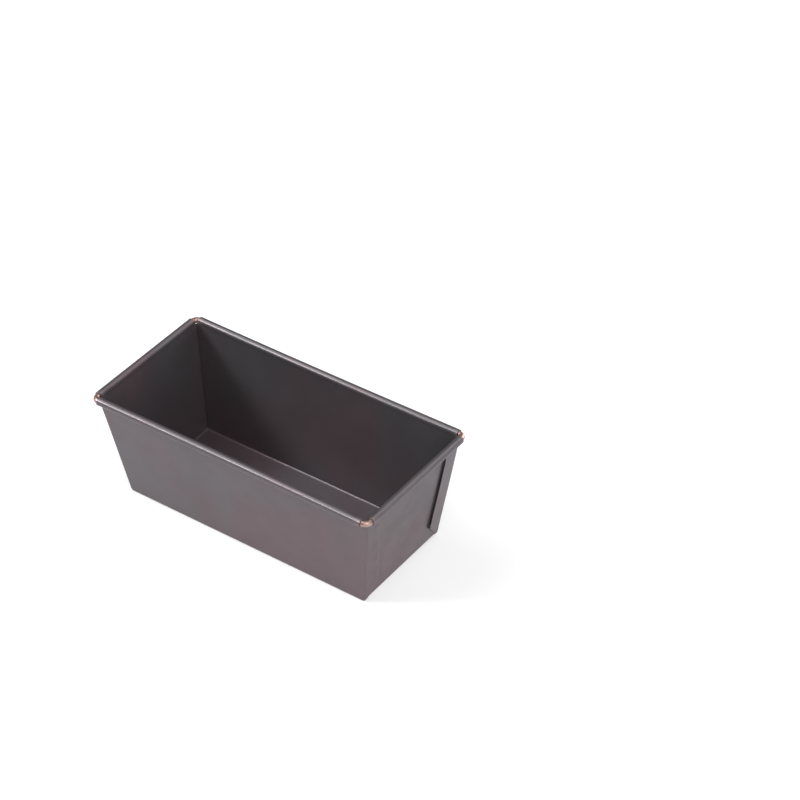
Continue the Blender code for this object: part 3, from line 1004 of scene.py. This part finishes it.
@dataclass
class FoldedSheet:
    """The pan's body: floor, walls, corner flaps and hems of one folded sheet."""

    sizes: PanSizes
    wave_height: float = 0.0004
    wave_size: float = 0.070
    wave_seed: int = 7
    middle_gain: float = 4.0
    noise_gain: float = 2.0
    weld: float = 0.00002
    edge_rounding: float = 0.00012
    edge_segments: int = 2
    crease_angle: float = math.radians(35)

    def build(self, finish: bpy.types.Material) -> bpy.types.Object:
        """Loft a quarter, repeat it round the pan, and round its cut edges.

        Args:
            finish: The coating.

        Returns:
            The piece.
        """
        long_wall = Wall(self.sizes, self.sizes.floor_width / 2, self.sizes.bead_half_width)
        end_wall = Wall(self.sizes, self.sizes.floor_length / 2, self.sizes.bead_half_length)
        flap = CornerFlap(self.sizes, long_wall, end_wall)
        quarter = QuarterSheet(self.sizes, long_wall, end_wall, flap).build()
        data = bpy.data.meshes.new("sheet_quarter")
        quarter.to_mesh(data)
        quarter.free()
        tree = self.four_quarters()
        piece = tree.make_mesh(add_source("sheet_quarter", data), finish, "folded_sheet")
        piece.data.set_sharp_from_angle(angle=self.crease_angle)
        bevel = piece.modifiers.new("rounded_cut_edges", "BEVEL")
        bevel.limit_method = "WEIGHT"
        bevel.width = self.edge_rounding
        bevel.segments = self.edge_segments
        return piece

    def four_quarters(self) -> GeometryTree:
        """Build the tree that mirrors the quarter twice, welds it and gives the walls their waves.

        The waves fade out at the floor and under the hem. The share of the height times the rest of
        it is a quarter at the middle, and the noise lies within a half of its own middle. The two
        gains bring both to one.

        Returns:
            The tree.
        """
        numbers = {
            "Wave Height": self.wave_height,
            "Wave Size": self.wave_size,
            "Wave Top": self.sizes.bead_height - self.sizes.bead_radius,
            "Weld": self.weld,
        }
        tree = GeometryTree("four_quarters_of_sheet", numbers, {"Wave Seed": self.wave_seed})
        whole = tree.given["Geometry"]
        for scale in ((-1.0, 1.0, 1.0), (1.0, -1.0, 1.0)):
            other = tree.add("GeometryNodeTransform", {"Geometry": whole, "Scale": scale})
            turned = tree.add("GeometryNodeFlipFaces", {0: other.outputs[0]})
            joined = tree.add("GeometryNodeJoinGeometry", {0: whole})
            tree.tree.links.new(turned.outputs[0], joined.inputs[0])
            whole = joined.outputs[0]
        weld_inputs = {"Geometry": whole, "Distance": tree.given["Weld"]}
        welded = tree.add("GeometryNodeMergeByDistance", weld_inputs)
        place = tree.add("GeometryNodeInputPosition").outputs[0]
        height = tree.add("ShaderNodeSeparateXYZ", {0: place}).outputs[2]
        share = tree.math("MINIMUM", tree.math("DIVIDE", height, tree.given["Wave Top"]), 1.0)
        rise = tree.math("MULTIPLY", share, tree.math("SUBTRACT", 1.0, share))
        noise_inputs = {"Vector": place, "W": tree.given["Wave Seed"], "Detail": 0.0}
        noise_inputs["Scale"] = tree.math("DIVIDE", 1.0, tree.given["Wave Size"])
        noise = tree.add("ShaderNodeTexNoise", noise_inputs, noise_dimensions="4D").outputs["Color"]
        centred = tree.add("ShaderNodeVectorMath", {0: noise, 1: (0.5, 0.5, 0.5)}, operation="SUBTRACT")
        flat_inputs = {0: centred.outputs[0], 1: (1.0, 1.0, 0.0)}
        level = tree.add("ShaderNodeVectorMath", flat_inputs, operation="MULTIPLY")
        full = tree.math("MULTIPLY", rise, self.middle_gain * self.noise_gain)
        reach = tree.math("MULTIPLY", full, tree.given["Wave Height"])
        wave_inputs = {0: level.outputs[0], "Scale": reach}
        wave = tree.add("ShaderNodeVectorMath", wave_inputs, operation="SCALE").outputs[0]
        moved = tree.add("GeometryNodeSetPosition", {"Geometry": welded.outputs[0], "Offset": wave})
        tree.finish(moved.outputs[0])
        return tree


@dataclass
class RimWire:
    """The round wire that stiffens the rim, one length bent into a rounded rectangle."""

    sizes: PanSizes
    point_spacing: float = 0.0006
    profile_points: int = 28
    bow_points: int = 24
    corner_points: int = 16

    def path(self) -> list[Point]:
        """Corner points of the wire and points along its bowed long sides, from split to split."""
        length, width = self.sizes.bead_half_length, self.sizes.bead_half_width
        reach = self.sizes.long_hem_end
        half_split = self.sizes.wire_split / 2
        xs = [reach * share for share in steps(self.bow_points)[1:]]
        right = [half_split] + xs
        back = [(x, width - self.sizes.bow(x, reach, self.sizes.bead_height)) for x in right]
        front = [(x, -y) for x, y in reversed(back)]
        half = back + [(length, width), (length, -width)] + front[:-1]
        return half + [(-x, y) for x, y in reversed(half)]

    def build(self, finish: bpy.types.Material) -> bpy.types.Object:
        """Sweep the wire's round section along its path.

        Args:
            finish: The copper finish.

        Returns:
            The piece.
        """
        data = bpy.data.curves.new("wire_path", "CURVE")
        data.dimensions = "3D"
        spline = data.splines.new("POLY")
        path = self.path()
        spline.points.add(len(path) - 1)
        for point, (x, y) in zip(spline.points, path):
            point.co = (x, y, self.sizes.bead_height, 1.0)
        return self.sweep().make_mesh(add_source("wire_path", data), finish, "rim_stiffening_wire")

    def sweep(self) -> GeometryTree:
        """Build the tree that rounds the path's corners and sweeps the wire along it."""
        numbers = {
            "Corner Radius": self.sizes.wire_corner,
            "Wire Radius": self.sizes.wire_diameter / 2,
            "Spacing": self.point_spacing,
        }
        tree = GeometryTree("swept_wire", numbers, {"Profile Points": self.profile_points})
        rounded = tree.add(
            "GeometryNodeFilletCurve",
            {
                "Curve": tree.given["Geometry"],
                "Radius": tree.given["Corner Radius"],
                "Limit Radius": True,
                "Count": self.corner_points,
            },
            mode="POLY",
        )
        even = tree.add(
            "GeometryNodeResampleCurve",
            {"Curve": rounded.outputs[0], "Length": tree.given["Spacing"]},
            mode="LENGTH",
        )
        circle = tree.add(
            "GeometryNodeCurvePrimitiveCircle",
            {"Resolution": tree.given["Profile Points"], "Radius": tree.given["Wire Radius"]},
        )
        swept = tree.add(
            "GeometryNodeCurveToMesh",
            {"Curve": even.outputs[0], "Profile Curve": circle.outputs[0], "Fill Caps": True},
        )
        tree.finish(swept.outputs[0])
        return tree


@dataclass(frozen=True)
class PhotoCamera:
    """The photograph's view of the pan."""

    azimuth: float = math.radians(36.55)
    elevation: float = math.radians(38.7)
    roll: float = math.radians(-1.33)
    target: tuple[float, float, float] = (-0.0043, 0.1324, 0.001)
    distance: float = 1.843
    lens: float = 125.7
    sensor: float = 36.0

    def build(self) -> bpy.types.Object:
        """Make the camera and set it as the scene's."""
        level = math.cos(self.elevation)
        across, along = math.sin(self.azimuth) * level, -math.cos(self.azimuth) * level
        back = Vector((across, along, math.sin(self.elevation)))
        right = Vector((0.0, 0.0, 1.0)).cross(back).normalized()
        up = back.cross(right)
        turned_right = right * math.cos(self.roll) + up * math.sin(self.roll)
        turned_up = up * math.cos(self.roll) - right * math.sin(self.roll)
        data = bpy.data.cameras.new("photo_camera")
        data.lens = self.lens
        data.sensor_width = self.sensor
        camera = bpy.data.objects.new("photo_camera", data)
        bpy.context.scene.collection.objects.link(camera)
        turn = Matrix((turned_right, turned_up, back)).transposed().to_4x4()
        camera.matrix_world = Matrix.Translation(Vector(self.target) + back * self.distance) @ turn
        bpy.context.scene.camera = camera
        return camera


@dataclass(frozen=True)
class Softbox:
    """A soft light far from the pan: a round glow in the surroundings that fades from its middle.

    Azimuth, elevation and spread are in degrees. Azimuth turns from the pan's front to its right end.
    """

    azimuth: float
    elevation: float
    spread: float
    brightness: float

    def add_to(self, tree: NodeTree, place: Socket) -> Socket:
        """Add the glow to the surroundings' tree.

        Args:
            tree: The tree.
            place: Direction of each point of the surroundings.

        Returns:
            The glow's brightness.
        """
        azimuth, elevation = math.radians(self.azimuth), math.radians(self.elevation)
        level = math.cos(elevation)
        away = (math.sin(azimuth) * level, -math.cos(azimuth) * level, math.sin(elevation))
        facing = tree.add("ShaderNodeVectorMath", {0: place, 1: away}, operation="DOT_PRODUCT")
        beside = tree.math("SUBTRACT", facing.outputs["Value"], 1.0)
        fade = tree.math("EXPONENT", tree.math("DIVIDE", beside, math.radians(self.spread) ** 2))
        return tree.math("MULTIPLY", fade, self.brightness)


@dataclass(frozen=True)
class Studio:
    """Floor and surroundings with soft lights in them."""

    floor_radius: float = 12.0
    floor_sides: int = 96
    fill: float = 0.01
    key: Softbox = Softbox(-52, 35, 5, 56)
    left: Softbox = Softbox(-85, 57, 12, 4.4)
    front: Softbox = Softbox(40, 25, 14, 2.0)
    right: Softbox = Softbox(80, 20, 12, 3.0)
    above: Softbox = Softbox(60, 60, 12, 5.4)
    behind: Softbox = Softbox(170, 45, 12, 2.1)
    behind_low: Softbox = Softbox(163, 15, 12, 9.5)

    def build(self, effects: Effects) -> None:
        """Make the floor, the surroundings and the lights."""
        mesh = bmesh.new()
        bmesh.ops.create_circle(mesh, cap_ends=True, segments=self.floor_sides, radius=self.floor_radius)
        data = bpy.data.meshes.new("studio_floor")
        mesh.to_mesh(data)
        mesh.free()
        data.materials.append(PaleFloor().build(effects))
        floor = add_source("studio_floor", data)
        world = bpy.data.worlds.new("studio")
        world.use_nodes = True
        tree = NodeTree(world.node_tree)
        place = tree.add("ShaderNodeTexCoord").outputs["Generated"]
        light: Socket | float = self.fill
        boxes = (self.key, self.left, self.front, self.right, self.above, self.behind, self.behind_low)
        for softbox in boxes:
            light = tree.math("ADD", light, softbox.add_to(tree, place))
        backdrop = world.node_tree.nodes["Background"]
        backdrop.inputs["Color"].default_value = (1.0, 1.0, 1.0, 1.0)
        world.node_tree.links.new(light, backdrop.inputs["Strength"])
        bpy.context.scene.world = world
        bpy.context.scene.view_settings.view_transform = "Standard"


def main() -> None:
    """Dress the pan, light it and set the camera."""
    logging.basicConfig(level=logging.INFO, format="%(message)s")
    sizes = PanSizes.from_frame()
    effects = Effects()
    PhotoCamera().build()
    Studio().build(effects)
    made = [
        (FoldedSheet(sizes).build(NonstickCoating().build(effects)), "pan_body", "nonstick_sheet"),
        (RimWire(sizes).build(CopperWire().build(effects)), "rim_wire", "rim_wire"),
    ]
    for piece, node, slot in made:
        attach(piece, "root")
        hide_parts(node)
        LOG.info("%s: %d vertices, in place of %s", piece.name, len(piece.data.vertices), node)


if __name__ == "__main__":
    main()
